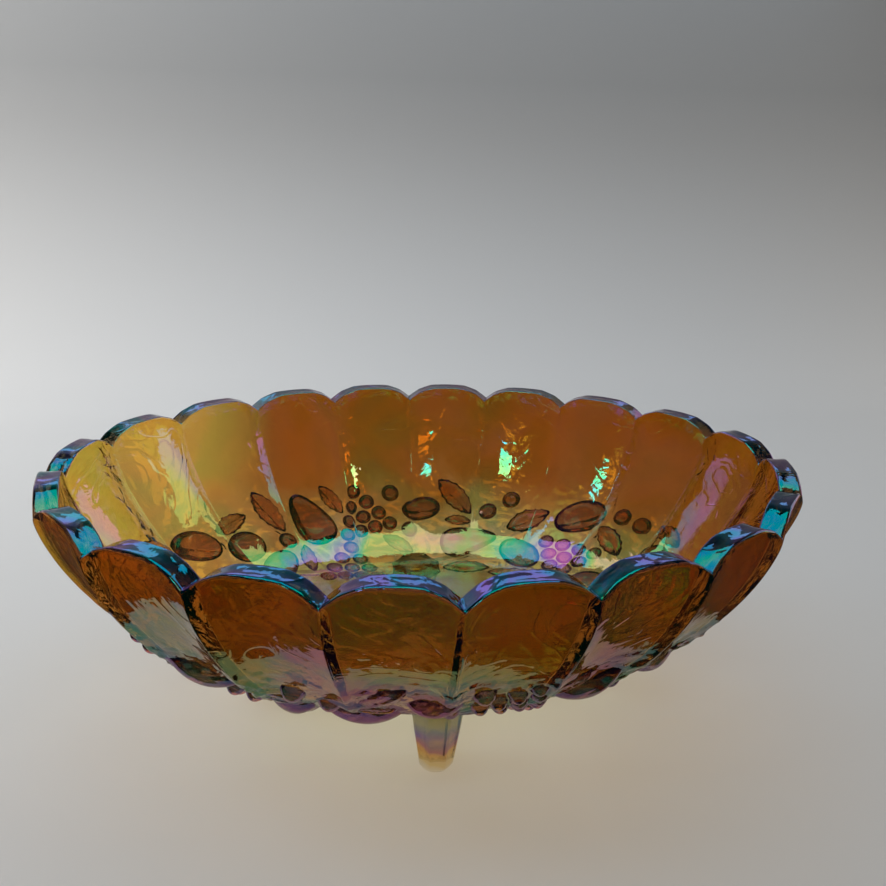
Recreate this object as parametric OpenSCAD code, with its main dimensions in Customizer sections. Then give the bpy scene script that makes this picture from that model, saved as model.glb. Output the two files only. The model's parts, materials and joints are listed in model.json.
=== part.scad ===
// Oval fruit bowl of pressed iridescent glass, on four peg feet.
// Twenty hollow flutes rise from a level oval underside to a scalloped rim. A garland of fruit and leaves
// stands proud of the lower wall, between the flutes and the feet.
// Millimetres. +X runs along the bowl, +Z is up, and the feet stand on z = 0 under the bowl's middle.

/* [Bowl] */
// Length of the rim oval, from notch to notch
rim_length = 300; // [270:1:330]
// Width of the rim oval, from notch to notch
rim_width = 222; // [195:1:245]
// Height of the rim's notches above the table
notch_height = 103.5; // [95:0.5:112]
// Height of the level underside above the table
underside_height = 28; // [25:0.5:34]
// Thickness of the floor
floor_thickness = 7; // [5:0.5:9]
// Width of the rim's flat top
rim_land = 8.7; // [6:0.1:11]

/* [Flutes] */
// Number of scallops round the rim, and of flutes below them
scallops = 20; // [12:4:28]
// Height of each scallop above its notches
scallop_height = 7; // [3:0.5:10]
// How far each flute is hollowed inward at the rim, between its notches
flute_hollow = 2; // [0:0.2:4]

/* [Feet] */
// Distance of the front and back feet from the middle
foot_across = 50; // [46:1:56]
// Distance of the end feet from the middle
foot_along = 64; // [60:1:66]
// Radius of a foot where it leaves the bowl
foot_root = 11; // [9:0.5:12]
// Radius of a foot just above its rounded end
foot_end = 7.3; // [6:0.1:8]
// Radius of the flat pad that a foot stands on
foot_pad = 4.6; // [3.5:0.1:5]

/* [Garland] */
// How far the pears, plums and apples stand proud of the wall
fruit_relief = 4.4; // [2:0.2:6]
// How far the grapes and cherries stand proud of the wall
berry_relief = 3.2; // [2:0.2:4]
// How far the leaves stand proud of the wall
leaf_relief = 2; // [1:0.2:3]
// Width of a grape
grape_size = 7.6; // [6:0.2:9]
// Width of a cherry
cherry_size = 9; // [7:0.2:10]

/* [Hidden] */

amber = [0.72, 0.40, 0.10, 0.75];
clear_amber = [0.85, 0.68, 0.30, 0.75];
violet_amber = [0.50, 0.26, 0.34, 0.75];
leaf_amber = [0.58, 0.38, 0.28, 0.75];

// Outer and inner walls: the rim's half axes, and how far each wall runs inward on its way down
outer_semi = [rim_length / 2, rim_width / 2];
outer_inset = [74, 67];
inner_semi = [outer_semi.x - rim_land, outer_semi.y - rim_land];
inner_inset = [61.5, 54.5];
floor_height = underside_height + floor_thickness;
outer_chamfer = 1.2;     // rounds the rim's outer edge
inner_chamfer = 0.6;     // rounds the rim's inner edge
flute_fade = 0.74;       // share of the way down at which the flutes have faded out
fade_power = 5;          // how late the flutes fade: a higher power keeps them deep for longer
hollow_power = 2;        // how square the hollow of a flute is across its width
scallop_power = 2.7;     // how square the top of a scallop is across its width

wall_bend = 1.44;        // how gently the wall leaves the upright at the rim
wall_fullness = 1.75;    // how full the wall is below: a higher power rounds it out more

columns_per_flute = 8;
columns = scallops * columns_per_flute;
// Shares of the way down at which the walls have a row of points, closer where they curve most
outer_rows = [0, 0.12, 0.25, 0.38, 0.5, 0.6, 0.7, 0.79, 0.87, 0.94, 1];
inner_rows = [0, 0.16, 0.33, 0.5, 0.65, 0.78, 0.9, 1];

// ---------- The walls as a surface: s in turns round the oval, v from the rim (0) to the base (1) ----------

// Turns round the oval to degrees, evened so that the scallops come out about as wide as each other
function oval_angle(s) = 360 * s + 3.5 * sin(720 * s);
function flute_phase(s) = s * scallops - floor(s * scallops);
// An arch over each flute: 0 at its notches and 1 along its middle
function arch(s, power) = 1 - pow(abs(2 * flute_phase(s) - 1), power);
function hollow(s, v) =
    v < flute_fade
        ? flute_hollow * (1 - pow(v / flute_fade, fade_power)) * arch(s, hollow_power)
        : 0;
function rim_top(s) = notch_height + scallop_height * arch(s, scallop_power);
// Shares of the wall's inset and of its depth: upright at the rim, rounding in to a level base
function inset_share(v) = pow(v, wall_bend);
function depth_share(v) = pow(1 - pow(1 - inset_share(v), wall_fullness), 1 / wall_bend);

function wall(s, v, semi, inset, top, bottom) =
    let (angle = oval_angle(s), dip = hollow(s, v), k = inset_share(v))
    [
        (semi.x - inset.x * k - dip) * cos(angle),
        (semi.y - inset.y * k - dip) * sin(angle),
        bottom + (top - bottom) * (1 - depth_share(v))
    ];

// Past the base edge (v from 1 to 2) the outside is the level underside, running in to the middle
function outside(s, v) =
    v <= 1
        ? wall(s, v, outer_semi, outer_inset, rim_top(s) - outer_chamfer, underside_height)
        : let (edge = wall(s, 1, outer_semi, outer_inset, 0, underside_height), k = 2 - v)
          [edge.x * k, edge.y * k, underside_height];
function inside(s, v) = wall(s, v, inner_semi, inner_inset, rim_top(s) - inner_chamfer, floor_height);
function rim_point(s, inward) =
    wall(s, 0, [outer_semi.x - inward, outer_semi.y - inward], [0, 0], rim_top(s), 0);

// ---------- Closed solids from rings of points ----------

// Two triangles for each step round and up: rings run anticlockwise from above, the lowest first
function band(from, to, count) = [
    for (i = [0:count - 1])
        let (j = (i + 1) % count)
        each [[from + i, to + j, from + j], [from + i, to + i, to + j]]
];

module skin_solid(rings) {
    count = len(rings[0]);
    last = (len(rings) - 1) * count;
    sides = [for (r = [0:len(rings) - 2]) each band(r * count, (r + 1) * count, count)];
    first_cap = [for (i = [0:count - 1]) i];
    last_cap = [for (i = [count - 1:-1:0]) last + i];
    polyhedron(
        points = [for (ring = rings) each ring],
        faces = concat(sides, [first_cap, last_cap]),
        convexity = 10
    );
}

module bowl_body() {
    turns = [for (i = [0:columns - 1]) i / columns];
    outer = [for (r = [len(outer_rows) - 1:-1:0]) [for (s = turns) outside(s, outer_rows[r])]];
    rim = [for (inward = [outer_chamfer, rim_land - inner_chamfer]) [for (s = turns) rim_point(s, inward)]];
    inner = [for (v = inner_rows) [for (s = turns) inside(s, v)]];
    color(amber) skin_solid(concat(outer, rim, inner));
}

// ---------- Feet: eight-panelled pegs that end on the curve where the wall meets the underside ----------

foot_panels = 8;
panel_depth = 0.5;       // how far each panel cuts into the round peg
round_end = 4;           // height of the foot's rounded end
end_round = [[1.1, 0.7], [0.3, 2]];   // the rounded end's points: in from foot_end, and height
peg_flare = 1.2;         // how much the peg widens above the underside
peg_top = underside_height + 12;
cut_columns = 8;         // columns of the wall's points on each side of a foot that its top follows
cut_first_row = 6;       // the highest of the wall's rows that its top follows
cut_inner_end = 1.6;     // v on the underside where the cut ends, past every foot

// The outside of the bowl over a foot, filled upward: what it takes off the peg is the foot's top
module glass_above(s) {
    middle = round(s * columns);
    turns = [for (i = [-cut_columns:cut_columns]) (middle + i) / columns];
    rows = [cut_inner_end, for (r = [len(outer_rows) - 1:-1:cut_first_row]) outer_rows[r]];
    count = len(turns);
    low = [for (v = rows) each [for (t = turns) outside(t, v)]];
    high = [for (p = low) [p.x, p.y, peg_top + 10]];
    half = len(low);
    edge = concat(
        [for (i = [0:count - 1]) i],
        [for (r = [1:len(rows) - 1]) r * count + count - 1],
        [for (i = [count - 2:-1:0]) (len(rows) - 1) * count + i],
        [for (r = [len(rows) - 2:-1:1]) r * count]
    );
    grid = [for (r = [0:len(rows) - 2], i = [0:count - 2])
        let (a = r * count + i, b = a + count)
        each [[a, b + 1, a + 1], [a, b, b + 1]]];
    top = [for (f = grid) [half + f[2], half + f[1], half + f[0]]];
    sides = [for (k = [0:len(edge) - 1])
        let (a = edge[k], b = edge[(k + 1) % len(edge)])
        each [[a, b, half + b], [a, half + b, half + a]]];
    polyhedron(points = concat(low, high), faces = concat(grid, top, sides), convexity = 4);
}

module peg() {
    lean = atan2(foot_root - foot_end, underside_height - round_end);
    difference() {
        rotate_extrude($fn = 64) polygon([
            [0, 0],
            [foot_pad, 0],
            for (p = end_round) [foot_end - p.x, p.y],
            [foot_end, round_end],
            [foot_root, underside_height],
            [foot_root + peg_flare, peg_top],
            [0, peg_top]
        ]);
        for (i = [0:foot_panels - 1])
            rotate([0, 0, 360 * (i + 0.5) / foot_panels])
                translate([foot_end - panel_depth, 0, round_end])
                    rotate([0, lean, 0])
                        translate([0, -foot_root, -round_end * 3])
                            cube([foot_root, foot_root * 2, peg_top * 2]);
    }
}

module foot(s, distance) {
    color(clear_amber) difference() {
        translate([distance * cos(360 * s), distance * sin(360 * s), 0]) peg();
        glass_above(s);
    }
}

module foot_front() { foot(0.75, foot_across); }
module foot_back() { foot(0.25, foot_across); }
module foot_left() { foot(0.5, foot_along); }
module foot_right() { foot(0, foot_along); }

// ---------- Relief: domed shapes laid on the outside, sized in millimetres along it ----------

nudge = 0.002;           // step in s or v for slopes of the outside
function unit(a) = a / norm(a);
function along_s(s, v) = (outside(s + nudge, v) - outside(s - nudge, v)) / (2 * nudge);
function along_v(s, v) = (outside(s, v + nudge) - outside(s, v - nudge)) / (2 * nudge);
function outward(s, v) = unit(cross(along_v(s, v), along_s(s, v)));
function turned(p, angle) = [p.x * cos(angle) - p.y * sin(angle), p.x * sin(angle) + p.y * cos(angle)];
// The place [s, v] that lies offset millimetres round and down from a place
function beside(place, offset) = [
    place.x + offset.x / norm(along_s(place.x, place.y)),
    place.y + offset.y / norm(along_v(place.x, place.y))
];
function lifted(place, height) = outside(place.x, place.y) + height * outward(place.x, place.y);

// outline is a closed list of [round, down] points about the place, and vein is the share of the
// height that is missing along the outline's first axis, as along a leaf's midrib
module domed(place, outline, height, turn = 0, vein = 0, rings = 3, under_rings = 1) {
    count = len(outline);
    function spot(i, share) = beside(place, turned(outline[i] * share, turn));
    function rise(i, share) = height * sqrt(1 - share * share) * (1 - vein * (1 - abs(sin(360 * i / count))));
    top = [for (k = [1:rings], i = [0:count - 1])
        let (share = sin(90 * k / rings))
        lifted(spot(i, share), k == rings ? 0 : rise(i, share))];
    under = [for (k = [under_rings:-1:1], i = [0:count - 1]) lifted(spot(i, k / (under_rings + 1)), 0)];
    points = concat([lifted(place, height * (1 - vein))], top, under, [lifted(place, 0)]);
    ring_total = rings + under_rings;
    last = len(points) - 1;
    last_ring = 1 + (ring_total - 1) * count;
    fan = [for (i = [0:count - 1]) [0, 1 + i, 1 + (i + 1) % count]];
    back_fan = [for (i = [0:count - 1]) [last, last_ring + (i + 1) % count, last_ring + i]];
    sides = [for (r = [0:ring_total - 2], i = [0:count - 1])
        let (j = (i + 1) % count, a = 1 + r * count, b = a + count)
        each [[a + i, b + j, a + j], [a + i, b + i, b + j]]];
    polyhedron(points = points, faces = concat(fan, sides, back_fan), convexity = 2);
}

function oval(long, wide, count = 14) =
    [for (i = [0:count - 1]) let (a = 360 * i / count) [long / 2 * cos(a), wide / 2 * sin(a)]];
// Full at one end and drawn in towards the stalk
function pear(long, wide, count = 14) =
    [for (i = [0:count - 1])
        let (a = 360 * i / count)
        [long / 2 * cos(a), wide / 2 * sin(a) * (1 - 0.42 * cos(a) + 0.08 * cos(2 * a))]];
// Pointed at both ends, with a notched edge
function leaf(long, wide, lobes = 7) =
    [for (i = [0:2 * lobes - 1])
        let (a = 180 * i / lobes, notched = i % 2 == 0 ? 1 : 0.8)
        [long / 2 * cos(a), wide / 2 * sin(a) * pow(abs(sin(a)), 0.5) * notched]];

// Places are [turns round the oval, share of the way down the wall, turn of the piece in degrees,
// length, width], going from the left-hand end (0.5) by the front foot (0.75) to the right-hand end (1).
// The back half repeats the front half, half a turn round.
half_turn = 0.5;
pear_places = [
    [0.540, 0.663, 70, 30, 19],
    [0.701, 0.732, 195, 29, 18],
    [0.832, 0.573, -72, 30, 19],
    [0.976, 0.775, 100, 28, 18]
];
plum_places = [
    [0.6155, 0.526, 32, 27, 17],
    [0.651, 0.780, -30, 24, 16],
    [0.743, 0.560, 3, 21, 13],
    [0.876, 0.779, 40, 23, 15],
    [0.927, 0.547, -30, 24, 16]
];
apple_places = [
    [0.570, 0.853, 0, 19, 17],
    [0.891, 0.629, 0, 19, 17]
];
// Bunches of grapes and single cherries have no length or width of their own
bunch_places = [
    [0.611, 0.750, 90],
    [0.790, 0.588, 40],
    [0.815, 0.884, 15],
    [0.927, 0.793, 80]
];
cherry_places = [
    [0.500, 0.612],
    [0.567, 0.488],
    [0.584, 0.480],
    [0.672, 0.500],
    [0.688, 0.565],
    [0.753, 0.665],
    [0.767, 0.483],
    [0.857, 0.650],
    [0.978, 0.569]
];
leaf_places = [
    [0.524, 0.870, 60, 22, 11],
    [0.540, 0.475, -15, 20, 10],
    [0.583, 0.598, -35, 21, 11],
    [0.646, 0.932, 10, 24, 11],
    [0.655, 0.586, 30, 24, 13],
    [0.697, 0.920, 5, 23, 12],
    [0.712, 0.617, 0, 14, 6],
    [0.716, 0.500, -45, 25, 12],
    [0.764, 0.750, -38, 18, 9],
    [0.813, 0.490, -60, 18, 9],
    [0.848, 0.773, 80, 18, 8],
    [0.862, 0.500, -70, 25, 12],
    [0.893, 0.505, 10, 20, 10],
    [0.893, 0.932, 10, 23, 10],
    [0.954, 0.600, 66, 17, 9],
    [0.961, 0.472, -25, 20, 10]
];
leaf_vein = 0.35;        // share of a leaf's height that is missing along its midrib
bunch_rows = 4;
grape_gap = 0.5;
row_pitch = 0.88;        // pitch of a bunch's rows over the pitch of the grapes in a row

module pears(from) {
    color(violet_amber) for (p = pear_places)
        domed([p[0] + from, p[1]], pear(p[3], p[4]), fruit_relief, p[2]);
}

module plums(from) {
    color(violet_amber) for (p = plum_places)
        domed([p[0] + from, p[1]], oval(p[3], p[4]), fruit_relief, p[2]);
}

module apples(from) {
    color(violet_amber) for (p = apple_places)
        domed([p[0] + from, p[1]], oval(p[3], p[4]), fruit_relief, p[2]);
}

// A bunch is a triangle of grapes, with one fewer in each row
module bunch(place, turn) {
    pitch = grape_size + grape_gap;
    for (row = [0:bunch_rows - 1], i = [0:bunch_rows - 1 - row]) {
        offset = [(row - (bunch_rows - 1) / 3) * pitch * row_pitch, (i - (bunch_rows - 1 - row) / 2) * pitch];
        domed(beside(place, turned(offset, turn)), oval(grape_size, grape_size, 8), berry_relief, 0, 0, 3, 0);
    }
}

module grapes(from) {
    color(violet_amber) for (p = bunch_places) bunch([p[0] + from, p[1]], p[2]);
}

module cherries(from) {
    color(violet_amber) for (p = cherry_places)
        domed([p[0] + from, p[1]], oval(cherry_size, cherry_size, 10), berry_relief, 0, 0, 3, 0);
}

module leaves(from) {
    color(leaf_amber) for (p = leaf_places)
        domed([p[0] + from, p[1]], leaf(p[3], p[4]), leaf_relief, p[2], leaf_vein, 2);
}

module pears_front() { pears(0); }
module pears_back() { pears(half_turn); }
module plums_front() { plums(0); }
module plums_back() { plums(half_turn); }
module apples_front() { apples(0); }
module apples_back() { apples(half_turn); }
module grapes_front() { grapes(0); }
module grapes_back() { grapes(half_turn); }
module cherries_front() { cherries(0); }
module cherries_back() { cherries(half_turn); }
module leaves_front() { leaves(0); }
module leaves_back() { leaves(half_turn); }

bowl_body();
foot_front();
foot_back();
foot_left();
foot_right();
pears_front();
pears_back();
plums_front();
plums_back();
apples_front();
apples_back();
grapes_front();
grapes_back();
cherries_front();
cherries_back();
leaves_front();
leaves_back();
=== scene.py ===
import json
import math

import bpy
import numpy as np
from mathutils import Matrix, Vector, noise


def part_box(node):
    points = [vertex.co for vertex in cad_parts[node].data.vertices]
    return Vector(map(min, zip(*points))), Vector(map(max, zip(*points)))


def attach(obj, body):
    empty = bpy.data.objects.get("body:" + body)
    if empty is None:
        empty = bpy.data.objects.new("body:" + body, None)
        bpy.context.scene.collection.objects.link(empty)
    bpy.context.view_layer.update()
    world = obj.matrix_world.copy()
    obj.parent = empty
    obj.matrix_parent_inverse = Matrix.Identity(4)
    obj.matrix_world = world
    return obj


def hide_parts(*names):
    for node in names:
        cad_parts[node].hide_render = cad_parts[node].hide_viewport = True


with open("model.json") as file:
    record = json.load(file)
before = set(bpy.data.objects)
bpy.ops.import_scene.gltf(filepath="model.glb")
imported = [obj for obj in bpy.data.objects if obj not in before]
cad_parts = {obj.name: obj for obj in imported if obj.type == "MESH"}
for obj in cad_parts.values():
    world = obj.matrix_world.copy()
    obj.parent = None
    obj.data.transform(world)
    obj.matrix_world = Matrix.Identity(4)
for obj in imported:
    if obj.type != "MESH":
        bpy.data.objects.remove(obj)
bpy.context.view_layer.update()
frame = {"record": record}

noise.seed_set(1)                                  # noise_vector() differs from run to run without it

# ---------------------------------------------------------------- The frame's measures, in metres

MM = 0.001
bowl_low, bowl_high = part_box("bowl_body")
SCALLOPS = 20
SCALLOP_HEIGHT = 7 * MM
HOLLOW = 2 * MM                                    # how far the flutes are hollowed at the rim
FADE, FADE_POWER = 0.74, 5                         # the v at which they have faded out, and how late they do
FULLNESS, BEND = 1.75, 1.44                        # how far the wall is rounded out, low down and all over
UNDERSIDE = bowl_low[2]
NOTCH = bowl_high[2] - SCALLOP_HEIGHT
FLOOR = UNDERSIDE + 7 * MM
LAND = 8.7 * MM                                    # width of the rim's flat top
OUTER_INSET = (74 * MM, 67 * MM)
INNER_INSET = (61.5 * MM, 54.5 * MM)
OUTER_ROUND, INNER_ROUND = 1.3 * MM, 0.8 * MM      # the rounded edges of the rim's flat top
ROUND_POWER = 6                                    # how soon their rounding runs out down the walls
EMBED = 0.35 * MM                                  # how far a raised piece is sunk into the wall
RIM_SEMI = (bowl_high[0], bowl_high[1])            # the rim oval's half axes, to its ridges
EVEN_OUT = np.radians(3.5)                         # makes the flutes about equally wide all round the oval
SHOULDER_SHARE, ARCH_SHARE, ARCH_POWER = 0.6, 0.4, 2.7   # a scallop's outline is a mix of these two
MEAN_TOP = NOTCH + 0.7 * SCALLOP_HEIGHT
MEAN_ARCH = 2 / 3                                  # the flutes' mean depth over their full one
STEP = 0.002                                       # for slopes: a share of a turn and of the way down


# ---------------------------------------------------------------- The walls as a surface, as the CAD has them
# s is in turns round the oval and v runs from the rim (0) to the base edge (1), then to the middle (2).

def oval_angle(s):
    return 2 * math.pi * s + EVEN_OUT * np.sin(4 * math.pi * s)


def off_middle(s):
    """0 along the middle of each flute and 1 at the notches."""
    return np.abs(2 * np.mod(s * SCALLOPS, 1) - 1)


def arch(s, power):
    """0 at the notches and 1 along the middle of each flute."""
    return 1 - off_middle(s) ** power


def rim_top(s):
    """Each scallop has a nearly flat top between two straight shoulders, rounded where they meet."""
    shoulders = np.interp(off_middle(s), [0, 0.42, 0.75, 1], [1, 0.97, 0.6, 0])
    return NOTCH + SCALLOP_HEIGHT * (SHOULDER_SHARE * shoulders + ARCH_SHARE * arch(s, ARCH_POWER))


def flute_depth(v):
    return HOLLOW * np.clip(1 - (v / FADE) ** FADE_POWER, 0, 1)


def depth_at(share):
    """How far down the wall is, as a share of its height, where it has come in by a share of its inset."""
    return (1 - (1 - share) ** FULLNESS) ** (1 / BEND)


def wall(s, v, semi, inset, top, bottom):
    """Points on a wall with the half axes semi at the rim, which come in by inset by its base edge."""
    share = np.clip(v, 0, 1) ** BEND
    depth = depth_at(share)
    angle, dip = oval_angle(s), flute_depth(v) * arch(s, 2)
    across = np.clip(2 - v, 0, 1)                  # past the base edge the surface runs level to the middle
    return np.stack([
        (semi[0] - inset[0] * share - dip) * np.cos(angle) * across,
        (semi[1] - inset[1] * share - dip) * np.sin(angle) * across,
        bottom + (top - bottom) * (1 - depth),
    ], axis=-1)


def outside(s, v):
    return wall(s, v, RIM_SEMI, OUTER_INSET, rim_top(s), UNDERSIDE)


def inside(s, v):
    semi = (RIM_SEMI[0] - LAND, RIM_SEMI[1] - LAND)
    return wall(s, v, semi, INNER_INSET, rim_top(s), FLOOR)


def unit(a):
    return a / np.linalg.norm(a, axis=-1, keepdims=True)


def slopes(surface, s, v):
    along_s = (surface(s + STEP, v) - surface(s - STEP, v)) / (2 * STEP)
    along_v = (surface(s, v + STEP) - surface(s, v - STEP)) / (2 * STEP)
    return along_s, along_v


def outward(surface, s, v):
    along_s, along_v = slopes(surface, s, v)
    return unit(np.cross(along_v, along_s))


def metres_per_unit(s, v):
    """How long a whole turn and the whole way down would be, at the slopes that the outside has here."""
    return [np.linalg.norm(slope) for slope in slopes(outside, np.array(s), np.array(v))]


def levelled(s, v):
    """The outside with its flutes smoothed away: the fruit and leaves are moulded on it."""
    ring = wall(s, v, RIM_SEMI, OUTER_INSET, MEAN_TOP, UNDERSIDE)
    out = (flute_depth(v) * (arch(s, 2) - MEAN_ARCH))[..., None]
    angle = oval_angle(s)
    return ring + out * np.stack([np.cos(angle), np.sin(angle), np.zeros_like(angle)], axis=-1)


def sunk(v):
    """How far under the levelled surface a raised piece ends, so that it always meets the glass."""
    return 2 * EMBED + (1 - MEAN_ARCH) * flute_depth(v)


# ---------------------------------------------------------------- Meshes

def new_object(name, points, faces, *materials):
    mesh = bpy.data.meshes.new(name)
    mesh.from_pydata([tuple(p) for p in points], [], faces)
    for material in materials:
        mesh.materials.append(material)
    made = bpy.data.objects.new(name, mesh)
    bpy.context.scene.collection.objects.link(made)
    return made


def new_piece(name, points, faces, slot, replaced, material):
    piece = new_object(name, points, faces, material)
    piece.data.shade_smooth()
    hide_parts(*replaced)
    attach(piece, "root")


def ring_faces(first, rings, count):
    """Quads between rings of points, each ring after the last."""
    faces = []
    for r in range(rings - 1):
        a = first + r * count
        b = a + count
        faces += [(a + i, a + (i + 1) % count, b + (i + 1) % count, b + i) for i in range(count)]
    return faces


def close(rows, first_middle, last_middle):
    """A closed shape of rings of points, with a fan of faces from the first and the last to its middle."""
    count = len(rows[0])
    points = np.concatenate(rows + [[first_middle], [last_middle]])
    start, end = len(points) - 2, len(points) - 1
    last = (len(rows) - 1) * count
    faces = ring_faces(0, len(rows), count)
    faces += [((i + 1) % count, i, start) for i in range(count)]
    faces += [(last + i, last + (i + 1) % count, end) for i in range(count)]
    return points, faces


def ripple(points, size, height):
    """Small waves in the glass, as the mould and the polishing flame leave them: a height at each point."""
    return np.array([noise.noise(Vector(p) / size) for p in points]) * height


def swirl(points, size, height):
    """Finer waves, drawn out into curls."""
    pull, pull_scale = 1.6, 0.45
    heights = []
    for p in points:
        at = Vector(p) / size
        heights.append(noise.noise(at + pull * noise.noise_vector(at * pull_scale)))
    return np.array(heights) * height


def tangle(points, size, height):
    """Thin ridges that wind about and cross: the tendrils and leaf edges between the fruit."""
    half_width, sharpness, apart = 0.16, 1.5, 7
    heights = []
    for p in points:
        at = Vector(p) / size
        bend = noise.noise_vector(at * 0.5)
        level = 0
        for k in (1, 1.7):
            off_ridge = abs(noise.noise(at * k + bend + Vector((apart * k, 0, 0))))
            level = max(level, 1 - off_ridge / half_width)
        heights.append(level)
    return np.array(heights) ** sharpness * height


def rough(points, waves, curls):
    """Both kinds of waves together. Each is given by its size and its height."""
    return ripple(points, *waves) + swirl(points, *curls)


COLUMNS = 560
OUTER_ROWS, INNER_ROWS, ROUND_ROWS = 96, 46, 5
UNDER_ROWS, FLOOR_ROWS = 6, 13
GATHER = 0.6                                       # how closely the columns crowd in to each notch
NEAR_MIDDLE = 1.96                                 # v of the rings next to the middle
OUTER_WAVES = (22 * MM, 0.14 * MM), (7 * MM, 0.05 * MM)
INNER_WAVES = (14 * MM, 0.35 * MM), (6 * MM, 0.10 * MM)
BAND_TOP, BAND_TOP_FADE = 0.34, 0.08               # v where the band of vines and tendrils begins, and
BAND_END, BAND_END_FADE = 0.98, 0.06               # where it ends, and how soon it reaches its full height
TENDRIL_SIZE, TENDRIL_HEIGHT = 13 * MM, 0.8 * MM


def vines(s, v):
    """Height of the low stems that wind between the fruit, and of their tendrils."""
    def sway(waves, phase=0):
        return np.sin(2 * math.pi * waves * s + phase)

    height = 0
    for middle, width, full in (
        (0.60 + 0.085 * sway(7) + 0.03 * sway(18), 0.016, 1.1 * MM),
        (0.83 + 0.05 * sway(9, 1), 0.016, 1.1 * MM),
        (0.50 + 0.10 * sway(26, 0.6), 0.012, 0.7 * MM),
    ):
        height = np.maximum(height, full * np.exp(-((v - middle) / width) ** 2))
    return height


def rim_profile(s):
    """Rings over the rim's flat top, from its outer rounded edge to its inner one, through the places s."""
    dish = 0.18 * MM                               # how far the flat top is hollowed
    quarter = [math.radians(90 * k / ROUND_ROWS) for k in range(ROUND_ROWS + 1)]
    path = [(OUTER_ROUND * (1 - math.cos(a)), OUTER_ROUND * (1 - math.sin(a))) for a in quarter]
    for share in (0.25, 0.5, 0.75):
        flat = LAND - OUTER_ROUND - INNER_ROUND
        path.append((OUTER_ROUND + flat * share, dish * math.sin(math.pi * share)))
    path += [(LAND - INNER_ROUND * (1 - math.sin(a)), INNER_ROUND * (1 - math.cos(a))) for a in quarter]
    rows = []
    for inward, drop in path:
        semi = (RIM_SEMI[0] - inward, RIM_SEMI[1] - inward)
        ring = wall(s, 0, semi, (0, 0), rim_top(s), 0)
        ring[:, 2] -= drop
        rows.append(ring)
    return rows


def build_bowl(material):
    flutes = np.arange(COLUMNS) / COLUMNS * SCALLOPS
    s = (flutes - GATHER * np.sin(2 * math.pi * flutes) / (2 * math.pi)) / SCALLOPS
    rows = [outside(s, v) for v in np.linspace(NEAR_MIDDLE, 1, UNDER_ROWS)]
    for v in np.linspace(1, 0, OUTER_ROWS)[1:-1]:
        ring = outside(s, v)
        ring[:, 2] -= OUTER_ROUND * (1 - v) ** ROUND_POWER
        band = np.clip(min((v - BAND_TOP) / BAND_TOP_FADE, (BAND_END - v) / BAND_END_FADE), 0, 1)
        height = rough(ring, *OUTER_WAVES)
        if band > 0:
            height += band * np.maximum(vines(s, v), tangle(ring, TENDRIL_SIZE, TENDRIL_HEIGHT))
        rows.append(ring + outward(outside, s, v) * height[:, None])
    rows += rim_profile(s)
    for v in np.linspace(0, 1, INNER_ROWS)[1:]:
        ring = inside(s, v)
        ring[:, 2] -= INNER_ROUND * (1 - v) ** ROUND_POWER
        height = min(1, 6 * v) * rough(ring, *INNER_WAVES)
        rows.append(ring + outward(outside, s, v) * height[:, None])
    for v in np.linspace(1, NEAR_MIDDLE, FLOOR_ROWS)[1:]:
        ring = inside(s, v)
        ring[:, 2] += rough(ring, *INNER_WAVES)
        rows.append(ring)
    points, faces = close(rows, [0, 0, UNDERSIDE], [0, 0, FLOOR])
    new_piece("bowl", points, faces, "bowl_glass", ["bowl_body"], material)


# ---------------------------------------------------------------- The garland, laid on the outside

RINGS, RING_POINTS = 9, 48
EDGE_SINK = 0.25 * MM                              # how far a raised piece's edge dips under the glass
SUNK_SHARES = 0.85, 0.5                            # the rings of its underside, as shares of its outline


def dome(place, outline, rise, turn):
    """A closed raised shape on the wall about place. outline(a) gives [round, down] in metres at the angle
    a, and rise(x, y, share) its height, where share runs from the middle (0) to the outline (1)."""
    flat = outline(np.linspace(0, 2 * math.pi, RING_POINTS, endpoint=False))
    scale = metres_per_unit(*place)
    c, t = math.cos(turn), math.sin(turn)

    def lay(share, height):
        x, y = flat[:, 0] * share, flat[:, 1] * share
        s = place[0] + (x * c - y * t) / scale[0]
        v = place[1] + (x * t + y * c) / scale[1]
        if height is None:                         # on the underside
            height = -sunk(v)
        ground = outside(s, v)
        base = ground + (levelled(s, v) - ground) * (1 - share ** 4)
        return base + outward(levelled, s, v) * np.reshape(height, (-1, 1))

    rows = []
    for k in range(1, RINGS + 1):
        share = math.sin(math.pi / 2 * k / RINGS)
        height = rise(flat[:, 0] * share, flat[:, 1] * share, share)
        rows.append(lay(share, height - EDGE_SINK * share ** 6))
    rows += [lay(share, None) for share in SUNK_SHARES]
    middle, normal = levelled(*np.array(place)), outward(levelled, *np.array(place))
    top = middle + normal * rise(np.zeros(1), np.zeros(1), 0)[0]
    return close(rows, top, middle - normal * sunk(place[1]))


def gather(shapes):
    """Several closed shapes as one list of points and one of faces."""
    points, faces, start = [], [], 0
    for shape_points, shape_faces in shapes:
        points.append(shape_points)
        faces += [tuple(start + i for i in f) for f in shape_faces]
        start += len(shape_points)
    return np.concatenate(points), faces


def oval(long, wide):
    return lambda a: np.stack([long / 2 * np.cos(a), wide / 2 * np.sin(a)], axis=-1)


def pear_outline(long, wide):
    """An oval drawn in towards one end."""
    def outline(a):
        width = wide * (1 - 0.42 * np.cos(a) + 0.08 * np.cos(2 * a))
        return np.stack([long / 2 * np.cos(a), width / 2 * np.sin(a)], axis=-1)
    return outline


def leaf_outline(long, wide):
    """An oval drawn out to a point at both ends, with a toothed edge."""
    def outline(a):
        teeth = 1 - 0.13 * np.abs(np.sin(8 * a)) ** 0.7
        width = wide * np.abs(np.sin(a)) ** 0.5 * teeth
        return np.stack([long / 2 * np.cos(a), width / 2 * np.sin(a)], axis=-1)
    return outline


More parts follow.
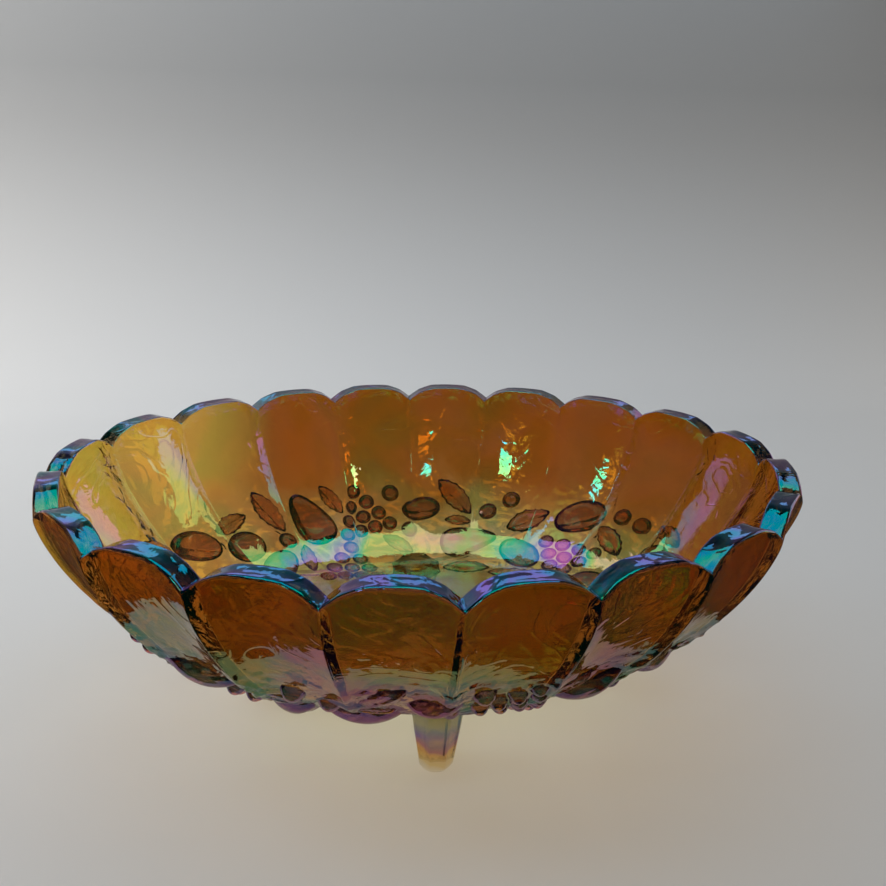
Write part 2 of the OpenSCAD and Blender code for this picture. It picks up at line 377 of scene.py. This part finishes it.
def crown(share):
    """A rounded back, from 1 in the middle to 0 at the edge, which it meets at a slope."""
    return 1 - share ** 2


def round_rise(height):
    return lambda x, y, share: np.full(np.shape(x), height * crown(share))


def plum_rise(height, wide):
    """A round back with the plum's seam pressed along it."""
    seam_depth, off_centre, seam_width = 0.28 * height, 0.12 * wide, 0.07 * wide

    def rise(x, y, share):
        seam = seam_depth * np.exp(-((y - off_centre) / seam_width) ** 2)
        return (height - seam) * crown(share)
    return rise


def apple_rise(height, wide):
    """A round back with the apple's dimple pressed into it, towards one side."""
    dimple_depth, off_centre, dimple_width = 0.45 * height, 0.28 * wide, 0.10 * wide

    def rise(x, y, share):
        dimple = dimple_depth * np.exp(-((x + off_centre) ** 2 + y ** 2) / dimple_width ** 2)
        return (height - dimple) * crown(share)
    return rise


def leaf_rise(height, long, wide):
    """A leaf cupped between its midrib and its edge, with side veins."""
    rib_width, vein_count, vein_slant = 0.06, 7, 3

    def rise(x, y, share):
        side = np.abs(y) / wide
        rib = 0.5 * height * np.exp(-(y / (rib_width * wide)) ** 2)
        wave = np.cos(2 * math.pi * (x / long * vein_count + side * vein_slant))
        veins = 0.22 * height * np.maximum(0, wave) ** 3 * (side > rib_width)
        body = height * (0.55 + 0.9 * side)
        return (body + rib - veins) * max(0, 1 - share ** 4) ** 0.7
    return rise


# Places are (turns round the oval, share of the way down, turn in degrees, length, width in mm)
PEARS = [
    (0.540, 0.663, 70, 30, 19), (0.701, 0.732, 195, 29, 18), (0.832, 0.573, -72, 30, 19),
    (0.976, 0.775, 100, 28, 18),
]
PLUMS = [
    (0.6155, 0.526, 32, 27, 17), (0.651, 0.780, -30, 24, 16), (0.743, 0.560, 3, 21, 13),
    (0.876, 0.779, 40, 23, 15), (0.927, 0.547, -30, 24, 16),
]
APPLES = [
    (0.570, 0.853, 0, 19, 17), (0.891, 0.629, 0, 19, 17),
]
BUNCHES = [
    (0.611, 0.750, 90), (0.790, 0.588, 40), (0.815, 0.884, 15), (0.927, 0.793, 80),
]
CHERRIES = [
    (0.500, 0.612), (0.567, 0.488), (0.584, 0.480), (0.672, 0.500), (0.688, 0.565), (0.753, 0.665),
    (0.767, 0.483), (0.857, 0.650), (0.978, 0.569),
]
LEAVES = [
    (0.524, 0.870, 60, 22, 11), (0.540, 0.475, -15, 20, 10), (0.583, 0.598, -35, 21, 11),
    (0.646, 0.932, 10, 24, 11), (0.655, 0.586, 30, 24, 13), (0.697, 0.920, 5, 23, 12),
    (0.712, 0.617, 0, 14, 6), (0.716, 0.500, -45, 25, 12), (0.764, 0.750, -38, 18, 9),
    (0.813, 0.490, -60, 18, 9), (0.848, 0.773, 80, 18, 8), (0.862, 0.500, -70, 25, 12),
    (0.893, 0.505, 10, 20, 10), (0.893, 0.932, 10, 23, 10), (0.954, 0.600, 66, 17, 9),
    (0.961, 0.472, -25, 20, 10),
]
FRUIT_RELIEF, BERRY_RELIEF, LEAF_RELIEF = 4.4 * MM, 3.2 * MM, 1.6 * MM
GRAPE, CHERRY = 7.6 * MM, 9 * MM                   # across
BUNCH_ROWS, BUNCH_PITCH, ROW_SHARE = 4, GRAPE + 0.5 * MM, 0.88   # ROW_SHARE: the rows' pitch over the grapes'


def fruits(places, turn_by, outline, rise):
    shapes = []
    for s, v, turn, long, wide in places:
        long, wide = long * MM, wide * MM
        shapes.append(dome((s + turn_by, v), outline(long, wide), rise(long, wide), math.radians(turn)))
    return gather(shapes)


def pears(turn_by):
    return fruits(PEARS, turn_by, pear_outline, lambda long, wide: round_rise(FRUIT_RELIEF))


def plums(turn_by):
    return fruits(PLUMS, turn_by, oval, lambda long, wide: plum_rise(FRUIT_RELIEF, wide))


def apples(turn_by):
    return fruits(APPLES, turn_by, oval, lambda long, wide: apple_rise(FRUIT_RELIEF, wide))


def leaves(turn_by):
    return fruits(LEAVES, turn_by, leaf_outline, lambda long, wide: leaf_rise(LEAF_RELIEF, long, wide))


def cherries(turn_by):
    berry = oval(CHERRY, CHERRY), round_rise(BERRY_RELIEF)
    return gather([dome((s + turn_by, v), *berry, 0) for s, v in CHERRIES])


def grapes(turn_by):
    """Each bunch is a triangle of grapes: four in its first row, then three, two and one."""
    berry = oval(GRAPE, GRAPE), round_rise(BERRY_RELIEF)
    shapes = []
    for s, v, turn in BUNCHES:
        scale = metres_per_unit(s + turn_by, v)
        c, t = math.cos(math.radians(turn)), math.sin(math.radians(turn))
        for row in range(BUNCH_ROWS):
            for i in range(BUNCH_ROWS - row):
                x = (row - (BUNCH_ROWS - 1) / 3) * BUNCH_PITCH * ROW_SHARE
                y = (i - (BUNCH_ROWS - 1 - row) / 2) * BUNCH_PITCH
                place = s + turn_by + (x * c - y * t) / scale[0], v + (x * t + y * c) / scale[1]
                shapes.append(dome(place, *berry, 0))
    return gather(shapes)


# ---------------------------------------------------------------- Feet

FOOT_PANELS, FOOT_POINTS, FOOT_ROWS = 8, 64, 12
FOOT_ROOT, FOOT_END, FOOT_PAD = 11 * MM, 7.3 * MM, 4.6 * MM   # radii at the wall, the rounding, the table
FOOT_ROUND = 4 * MM                                # height of the rounded end
FLARE, FLARE_FROM = 1.6 * MM, 0.8                  # how much more it widens over its last fifth
PANEL_POWER = 1.3                                  # more than 1 makes the corners stand out
CUT_FROM = 19 * MM                                 # height from which a foot is stretched to meet the wall
FOOT_TOP = UNDERSIDE + EMBED                       # its height before it is stretched


def wall_height(x, y):
    """Height of the outside above the table over points under it. Its flutes have faded out there."""
    v = np.linspace(0.55, 1, 400)
    share = v ** BEND
    height = np.empty(len(x))
    for i, (px, py) in enumerate(zip(x, y)):
        semi = RIM_SEMI[0] - OUTER_INSET[0] * share, RIM_SEMI[1] - OUTER_INSET[1] * share
        past_wall = (px / semi[0]) ** 2 + (py / semi[1]) ** 2 >= 1
        if past_wall.any():
            depth = depth_at(share[np.argmax(past_wall)])
            height[i] = UNDERSIDE + (NOTCH - UNDERSIDE) * (1 - depth)
        else:
            height[i] = UNDERSIDE
    return height


def make_foot(name, node, at, material):
    """A tapering peg with softened panels and a rounded end, whose top is just inside the wall above it."""
    a = np.linspace(0, 2 * math.pi, FOOT_POINTS, endpoint=False)
    sector = 2 * math.pi / FOOT_PANELS
    panel = math.cos(sector / 2) / np.cos(np.mod(a + sector / 2, sector) - sector / 2)
    panel = (panel / panel.max()) ** PANEL_POWER   # 1 at the panels' corners, less along their middles
    profile = [
        (0.02 * MM, 0), (FOOT_PAD * 0.5, 0), (FOOT_PAD, 0),
        (FOOT_END - 1.1 * MM, 0.7 * MM), (FOOT_END - 0.3 * MM, 2 * MM),
    ]
    for share in np.arange(FOOT_ROWS + 1) / FOOT_ROWS:
        flare = FLARE * max(0, (share - FLARE_FROM) / (1 - FLARE_FROM)) ** 2
        height = FOOT_ROUND + (FOOT_TOP - FOOT_ROUND) * share
        profile.append((FOOT_END + (FOOT_ROOT - FOOT_END) * share + flare, height))
    rows = []
    for radius, height in profile:
        reach = radius * (1 - min(1, height / FOOT_ROUND) * (1 - panel))
        x, y = at[0] + reach * np.cos(a), at[1] + reach * np.sin(a)
        stretch = np.clip((height - CUT_FROM) / (FOOT_TOP - CUT_FROM), 0, 1)
        z = height + stretch * (wall_height(x, y) - UNDERSIDE)
        rows.append(np.stack([x, y, z], axis=-1))
    top = wall_height([at[0]], [at[1]])[0] + EMBED
    points, faces = close(rows, [at[0], at[1], 0], [at[0], at[1], top])
    new_piece(name, points, faces, "foot_glass", [node], material)


# ---------------------------------------------------------------- Materials

def add(tree, kind, inputs=None, **settings):
    """A new node. An input is a number or colour, or another node's output to link to it."""
    made = tree.nodes.new(kind)
    for name, value in settings.items():
        setattr(made, name, value)
    for name, value in (inputs or {}).items():
        if isinstance(value, bpy.types.NodeSocket):
            tree.links.new(value, made.inputs[name])
        else:
            made.inputs[name].default_value = value
    return made


def spread(tree, value, low, high, to_low, to_high):
    """value, mapped from low..high to to_low..to_high and held within them."""
    made = add(tree, "ShaderNodeMapRange", {
        "Value": value, "From Min": low, "From Max": high, "To Min": to_low, "To Max": to_high,
    })
    return made.outputs["Result"]


def maths(tree, operation, a, b):
    return add(tree, "ShaderNodeMath", {0: a, 1: b}, operation=operation).outputs["Value"]


def blend(tree, factor, a, b, kind):
    """a where factor is 0 and b where it is 1."""
    made = add(tree, "ShaderNodeMix", data_type=kind)
    sockets = [x for x in made.inputs if x.enabled]
    for socket, value in zip(sockets, (factor, a, b)):
        if isinstance(value, bpy.types.NodeSocket):
            tree.links.new(value, socket)
        else:
            socket.default_value = value
    return next(x for x in made.outputs if x.enabled)


def noise_of(tree, where, scale, detail=3, distortion=0.6):
    made = add(tree, "ShaderNodeTexNoise", {
        "Vector": where, "Scale": scale, "Detail": detail, "Distortion": distortion,
    })
    return made.outputs["Fac"]


def parts_of(tree, vector):
    return add(tree, "ShaderNodeSeparateXYZ", {"Vector": vector}).outputs[:3]


def within(tree, value, start, full):
    """0 up to start, 1 from full on."""
    return spread(tree, value, start, full, 0, 1)


def tint_ramp(tree, factor, tints):
    ramp = add(tree, "ShaderNodeValToRGB", {"Fac": factor})
    stops = ramp.color_ramp.elements
    stops.remove(stops[1])                         # a ramp keeps at least one stop, so the other goes last
    for share, tint in tints:
        stops.new(share).color = (*tint, 1)
    stops.remove(stops[0])
    return ramp.outputs["Color"]


FILM_INDEX = 2.15                                  # tin oxide's, or a little over
SHADOW_TINT = (0.93, 0.88, 0.80)                   # what each face of the glass lets through to its shadow
MOTTLE = 0.12                                      # how far the tints stray up and down
FOOT_DRIFT = 6                                     # nanometres that a foot's film strays from its bands
NOISE_RANGE = 0.3, 0.7                             # where nearly all of a noise's values lie
# The left end's paler golden tint is painted light: the glow of light from the left shining through the wall.
# Where something starts and where it is full:
PAINTED_LIGHT_ALONG, PAINTED_LIGHT_ACROSS = (-70 * MM, -105 * MM), (-30 * MM, 5 * MM)
# RIM_FACING and RIM_HEIGHT bound the rim's flat top, which gets its own film and a dark blue painted
# reflection.
RIM_FACING, RIM_HEIGHT = (0.35, 0.8), (NOTCH - 6 * MM, NOTCH - 3 * MM)   # facing is by the normal's z
LINES_HEIGHT = 60 * MM, 80 * MM


def ripples(tree, where, height, depth):
    """The normal of finely rippled glass, with thin wandering lines in the upper wall."""
    off_line = maths(tree, "ABSOLUTE", maths(tree, "SUBTRACT", noise_of(tree, where, 38, 0, 2.2), 0.5), 0)
    lines = spread(tree, off_line, 0, 0.07, 0.8, 0)
    lines = maths(tree, "MULTIPLY", lines, within(tree, height, *LINES_HEIGHT))
    bump = add(tree, "ShaderNodeBump", {
        "Height": maths(tree, "ADD", noise_of(tree, where, 95, 2, 2.5), lines),
        "Distance": depth, "Strength": 1,
    })
    return bump.outputs["Normal"]


def glass(name, tints, film, film_scale=20, top=bowl_high[2], banded=False, rim=None, painted_left_light_tint=None, depth=0):
    """Iridescent glass. tints are its colours, each with its share of the way up to top. film is the film's
    least and most thickness in nanometres, drifting from place to place, or, if it is banded, its thickness
    at the end of a foot and at the foot's root. rim is the film on the rim's flat top and a dark blue tint
    there, which is painted reflection; painted_left_light_tint is the paler golden tint at the left end,
    which is painted light from the left shining through the glass; depth is the depth of fine ripples."""
    material = bpy.data.materials.new(name)
    material.use_nodes = True
    tree = material.node_tree
    shader, output = tree.nodes["Principled BSDF"], tree.nodes["Material Output"]
    shader.inputs["Transmission Weight"].default_value = 1
    shader.inputs["IOR"].default_value = 1.5
    shader.inputs["Roughness"].default_value = 0.015
    shader.inputs["Thin Film IOR"].default_value = FILM_INDEX
    where = add(tree, "ShaderNodeTexCoord").outputs["Object"]
    along, across, height = parts_of(tree, where)

    drift = noise_of(tree, where, film_scale)
    if banded:
        level = spread(tree, height, 3 * MM, UNDERSIDE, *film)
        stray = spread(tree, drift, *NOISE_RANGE, -FOOT_DRIFT, FOOT_DRIFT)
        thickness = maths(tree, "ADD", level, stray)
    else:
        thickness = spread(tree, drift, 0.32, 0.68, *film)
    mottle = spread(tree, noise_of(tree, where, 30, 4), *NOISE_RANGE, -MOTTLE, MOTTLE)
    colour = tint_ramp(tree, maths(tree, "ADD", within(tree, height, 0, top), mottle), tints)
    # Painted light: a paler golden tint at the left end, towards the back, where light from the left shines
    # through.
    if painted_left_light_tint:
        end, side = within(tree, along, *PAINTED_LIGHT_ALONG), within(tree, across, *PAINTED_LIGHT_ACROSS)
        colour = blend(tree, maths(tree, "MULTIPLY", end, side), colour, (*painted_left_light_tint, 1), "RGBA")
    # On the rim's flat top the film thickness is the glass's own, but the dark blue tint is painted
    # reflection: it stands in for the deep blue that the rim's top reflects.
    if rim:
        facing = parts_of(tree, add(tree, "ShaderNodeNewGeometry").outputs["Normal"])[2]
        upward = within(tree, maths(tree, "ABSOLUTE", facing, 0), *RIM_FACING)
        on_rim = maths(tree, "MULTIPLY", upward, within(tree, height, *RIM_HEIGHT))
        streaks = spread(tree, noise_of(tree, where, 42, 2, 1.5), *NOISE_RANGE, *rim[0])
        thickness = blend(tree, on_rim, thickness, streaks, "FLOAT")
        colour = blend(tree, on_rim, colour, (*rim[1], 1), "RGBA")
    tree.links.new(thickness, shader.inputs["Thin Film Thickness"])
    tree.links.new(colour, shader.inputs["Base Color"])
    if depth:
        tree.links.new(ripples(tree, where, height, depth), shader.inputs["Normal"])
    clear = add(tree, "ShaderNodeBsdfTransparent", {"Color": (*SHADOW_TINT, 1)})
    light_path = add(tree, "ShaderNodeLightPath")
    mixed = add(tree, "ShaderNodeMixShader", {0: light_path.outputs["Is Shadow Ray"]})
    tree.links.new(shader.outputs["BSDF"], mixed.inputs[1])
    tree.links.new(clear.outputs["BSDF"], mixed.inputs[2])
    tree.links.new(mixed.outputs["Shader"], output.inputs["Surface"])
    return material


bowl_glass = glass(
    "bowl_glass",
    [
        (0.28, (0.72, 0.62, 0.20)), (0.42, (0.64, 0.38, 0.07)),
        (0.6, (0.49, 0.175, 0.012)), (0.9, (0.47, 0.145, 0.006)),
    ],
    (252, 346), film_scale=19,
    # The rim's dark blue tint is painted reflection; the golden tint at the left end is painted light from
    # the left.
    rim=((274, 310), (0.03, 0.05, 0.11)), painted_left_light_tint=(0.84, 0.54, 0.08), depth=0.10 * MM,
)
foot_glass = glass(
    "foot_glass",
    [
        (0.02, (0.80, 0.70, 0.52)), (0.14, (0.80, 0.48, 0.12)), (0.38, (0.78, 0.38, 0.14)),
        (0.46, (0.34, 0.12, 0.42)), (0.56, (0.24, 0.20, 0.44)), (0.66, (0.62, 0.46, 0.16)),
        (0.98, (0.46, 0.30, 0.12)),
    ],
    (80, 200), top=UNDERSIDE, banded=True,
)
fruit_glass = glass("fruit_glass", [(0.3, (0.48, 0.27, 0.38)), (0.7, (0.72, 0.50, 0.34))], (256, 290))
leaf_glass = glass("leaf_glass", [(0.3, (0.66, 0.42, 0.46)), (0.7, (0.82, 0.60, 0.34))], (250, 298))

# ---------------------------------------------------------------- The pieces

build_bowl(bowl_glass)
for half, turn_by in (("front", 0), ("back", 0.5)):
    for kind, maker, slot_name, material in (
        ("pears", pears, "fruit_glass", fruit_glass),
        ("plums", plums, "fruit_glass", fruit_glass),
        ("apples", apples, "fruit_glass", fruit_glass),
        ("grapes", grapes, "fruit_glass", fruit_glass),
        ("cherries", cherries, "fruit_glass", fruit_glass),
        ("leaves", leaves, "leaf_glass", leaf_glass),
    ):
        node = f"{kind}_{half}"
        new_piece(f"{node}_relief", *maker(turn_by), slot_name, [node], material)

pads = {mount["name"]: mount["pos_m"] for mount in frame["record"]["mounts"]}
for side in ("front", "back", "right", "left"):
    make_foot(f"{side}_foot", f"foot_{side}", pads[f"foot_{side}_pad"][:2], foot_glass)

# ---------------------------------------------------------------- Stage, lights and camera

PALE, DIMMED = (0.80, 0.79, 0.78), (0.42, 0.42, 0.42)


def plain(name, colour):
    material = bpy.data.materials.new(name)
    material.use_nodes = True
    shader = material.node_tree.nodes["Principled BSDF"]
    shader.inputs["Base Color"].default_value = (*colour, 1)
    shader.inputs["Roughness"].default_value = 0.8
    return material


def build_sweep():
    """A pale floor that curves up into a backdrop, which is dimmer."""
    width, front, back, bend, high, steps = 2.4, -1.4, 0.62, 0.25, 1.4, 12
    path = [(front, 0), (-0.4, 0), (0.1, 0)]
    for k in range(steps + 1):
        a = math.radians(90 * k / steps)
        path.append((back - bend + bend * math.sin(a), bend * (1 - math.cos(a))))
    path.append((back, high))
    points = [(x, y, z) for y, z in path for x in (-width / 2, width / 2)]
    faces = [(2 * i, 2 * i + 1, 2 * i + 3, 2 * i + 2) for i in range(len(path) - 1)]
    material = plain("pale_floor", PALE)
    tree = material.node_tree
    height = parts_of(tree, add(tree, "ShaderNodeTexCoord").outputs["Object"])[2]
    colour = blend(tree, within(tree, height, 0.02, 0.3), (*PALE, 1), (*DIMMED, 1), "RGBA")
    tree.links.new(colour, tree.nodes["Principled BSDF"].inputs["Base Color"])
    sweep = new_object("sweep", points, faces, material)
    sweep.data.shade_smooth()


def build_flag():
    """A ring lying round the bowl, grey near it and dark further out, seen only as a reflection in the glass.
    It gives the walls the contrast that they have on a small cloth in a darker room."""
    count = 240
    rings = [], [], []
    for i in range(count):
        a = 2 * math.pi * i / count
        spikes = 0.22 * (0.5 + 0.5 * math.cos(SCALLOPS * a - 1.6)) ** 5
        ends = 0.30 * max(0, math.cos(a + 0.3), math.cos(a - 3.44)) ** 12
        edge = 1 + 0.08 * math.cos(a - 3.5) + max(spikes, ends)
        semis = (0.04, 0.02), (0.131 * edge, 0.092 * edge), (1.3, 1.3)
        for ring, (along, across) in zip(rings, semis):
            ring.append((along * math.cos(a), across * math.sin(a), 2 * MM))
    near, far = plain("flag_near", (0.62, 0.61, 0.60)), plain("flag_far", (0.012, 0.008, 0.005))
    flag = new_object("flag", sum(rings, []), ring_faces(0, len(rings), count), near, far)
    for i, face in enumerate(flag.data.polygons):
        face.material_index = 0 if i < count else 1
    flag.visible_camera = flag.visible_diffuse = flag.visible_shadow = flag.visible_transmission = False


def build_shade():
    """A soft dark patch under the bowl, seen only through the glass, as a deep shadow is."""
    along, across, behind, count = 0.15, 0.10, 0.045, 64
    turns = [2 * math.pi * i / count for i in range(count)]
    ring = [(along * math.cos(a), behind + across * math.sin(a), 1 * MM) for a in turns]
    material = plain("shade", PALE)
    tree = material.node_tree
    where = add(tree, "ShaderNodeTexCoord").outputs["Object"]
    centred = add(tree, "ShaderNodeMapping", {
        "Vector": where, "Location": (0, -behind / across, 0), "Scale": (1 / along, 1 / across, 0),
    }).outputs["Vector"]
    reach = add(tree, "ShaderNodeVectorMath", {0: centred}, operation="LENGTH").outputs["Value"]
    colour = blend(tree, within(tree, reach, 0.2, 1), (0.24, 0.23, 0.23, 1), (*PALE, 1), "RGBA")
    tree.links.new(colour, tree.nodes["Principled BSDF"].inputs["Base Color"])
    shade = new_object("shade", ring, [tuple(range(count))], material)
    shade.visible_camera = shade.visible_diffuse = shade.visible_shadow = shade.visible_glossy = False


def soft_light(name, place, aim, size, watts, colour=(1, 1, 1), mirrored=True):
    """An area light. One that isn't mirrored lights things but isn't seen in the glass."""
    light = bpy.data.lights.new(name, "AREA")
    light.shape = "RECTANGLE"
    light.size, light.size_y = size
    light.energy = watts
    light.color = colour
    lamp = bpy.data.objects.new(name, light)
    bpy.context.scene.collection.objects.link(lamp)
    lamp.location = place
    lamp.rotation_euler = (Vector(aim) - Vector(place)).to_track_quat("-Z", "Y").to_euler()
    lamp.visible_glossy = lamp.visible_transmission = mirrored


build_sweep()
build_flag()
build_shade()
soft_light("key", (-0.75, 0.2, 0.6), (-0.35, 0.62, 0.25), (0.5, 0.5), 4, (1, 0.98, 0.95), mirrored=False)
soft_light("fill", (-0.3, -0.9, 0.8), (0, -0.1, 0), (0.8, 0.8), 1.5, (1, 0.98, 0.96), mirrored=False)
soft_light("sky", (0, 0.05, 0.95), (0, 0, 0), (1.0, 0.6), 2.6, (0.90, 0.96, 1))
soft_light("window", (-0.3, -0.62, 0.62), (0, 0.05, 0.08), (0.16, 0.10), 0.25, (0.85, 0.96, 1))
soft_light("band", (0, 0.60, 0.46), (0, 0, 0.05), (1.0, 0.14), 0.6, (0.45, 0.72, 1))
soft_light("side", (0.80, 0.25, 0.32), (0, 0, 0.06), (0.5, 0.5), 0.7, (1, 0.93, 0.82))

world = bpy.data.worlds.new("studio")
world.use_nodes = True
world.node_tree.nodes["Background"].inputs["Color"].default_value = (0.03, 0.03, 0.034, 1)
bpy.context.scene.world = world
bpy.context.scene.view_settings.view_transform = "Standard"

AZIMUTH, ELEVATION, ROLL = -0.1194, 0.336, -0.0256   # radians
DISTANCE, SHIFT_RIGHT, SHIFT_UP = 0.33648, 0.00572, 0.01129   # from the middle of the rim's oval
level = math.cos(ELEVATION)
back = Vector((math.sin(AZIMUTH) * level, -math.cos(AZIMUTH) * level, math.sin(ELEVATION)))
right = Vector((math.cos(AZIMUTH), math.sin(AZIMUTH), 0))
up = back.cross(right)
place = Vector((0, 0, NOTCH)) + back * DISTANCE + right * SHIFT_RIGHT + up * SHIFT_UP
camera_data = bpy.data.cameras.new("camera")
camera_data.lens = 33.55
camera_data.sensor_width = 36
camera_data.clip_start = 0.01
camera = bpy.data.objects.new("camera", camera_data)
rolled_right = right * math.cos(ROLL) - up * math.sin(ROLL)
rolled_up = right * math.sin(ROLL) + up * math.cos(ROLL)
axes = Matrix((rolled_right, rolled_up, back)).transposed()
camera.matrix_world = Matrix.Translation(place) @ axes.to_4x4()
bpy.context.scene.collection.objects.link(camera)
bpy.context.scene.camera = camera
